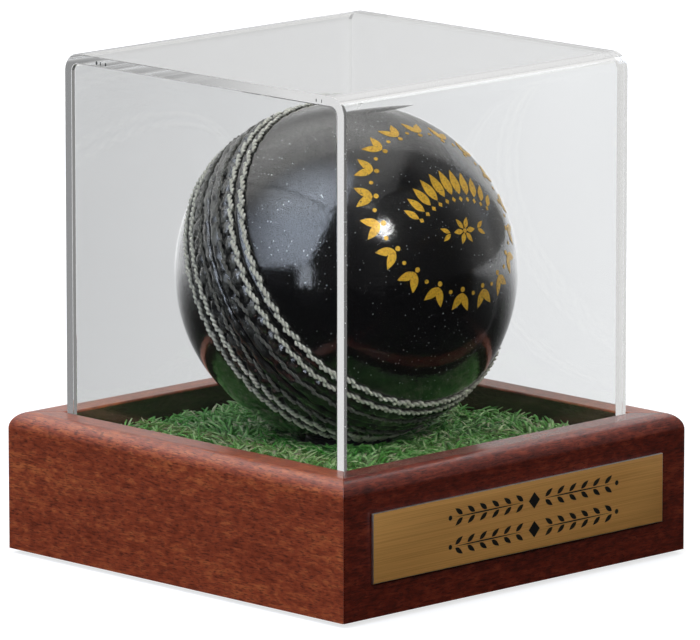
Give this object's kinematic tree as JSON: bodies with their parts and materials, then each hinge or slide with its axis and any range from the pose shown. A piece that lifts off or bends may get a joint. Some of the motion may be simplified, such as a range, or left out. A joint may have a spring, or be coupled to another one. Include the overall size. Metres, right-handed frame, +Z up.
{
  "type": "cricket ball display case",
  "caption": "Square mahogany base with a plain brass plaque, turf and a black leather cricket ball under a lift-off clear acrylic cover.",
  "frame": {"origin": "on the table, under the middle of the base", "axes": "+Z up, the plaque faces -Y, +X runs to the right along the plaque"},
  "size_m": [0.102, 0.1029, 0.1084],
  "materials": {
    "mahogany": "satin lacquered mahogany, fine dark pores along the rails",
    "beech": "plain sawn beech",
    "plywood": "sanded birch plywood",
    "fibreboard": "raw medium-density fibreboard",
    "screw_steel": "zinc plated",
    "felt": "black needle felt",
    "turf": "matted green polyethylene blades",
    "ring_plastic": "moulded, fine satin",
    "brass": "long-grain brushed",
    "adhesive": "double-sided film",
    "acrylic": "clear cast acrylic with polished edges",
    "ball_core": "cork bound in wool yarn",
    "ball_leather": "high-gloss lacquered leather",
    "dark_thread": "waxed thread",
    "white_thread": "twisted linen thread"
  },
  "bodies": {
    "base": {"front_rail": "mahogany", "right_rail": "mahogany", "back_rail": "mahogany", "left_rail": "mahogany", "mitre_spline_front_left": "beech", "mitre_spline_front_right": "beech", "mitre_spline_back_right": "beech", "mitre_spline_back_left": "beech", "bottom_board": "plywood", "board_screw_front": "screw_steel", "board_screw_right": "screw_steel", "board_screw_back": "screw_steel", "board_screw_left": "screw_steel", "felt_pad_front_left": "felt", "felt_pad_front_right": "felt", "felt_pad_back_right": "felt", "felt_pad_back_left": "felt", "turf_board": "fibreboard", "turf_mat": "turf", "ball_seat_ring": "ring_plastic", "plaque_plate": "brass", "plaque_adhesive": "adhesive"},
    "cover": {"cover_wrap": "acrylic", "cover_left_end": "acrylic", "cover_right_end": "acrylic"},
    "ball": {"ball_core": "ball_core", "leather_front_left": "ball_leather", "leather_front_right": "ball_leather", "leather_back_upper": "ball_leather", "leather_back_lower": "ball_leather", "seam_stitches_front": "dark_thread", "seam_stitches_back": "dark_thread", "stitch_row_front_inner": "white_thread", "stitch_row_front_outer": "white_thread", "stitch_row_back_inner": "white_thread", "stitch_row_back_outer": "white_thread"}
  },
  "joints": [
    {"name": "cover_lift", "type": "slide", "parent": "base", "child": "cover", "axis": [0, 0, 1], "range_m": [0, 0.085]},
    {"name": "ball_turn", "type": "hinge", "parent": "base", "child": "ball", "pos_m": [0, 0, 0.0614], "axis": [0, 0, 1], "continuous": true}
  ]
}
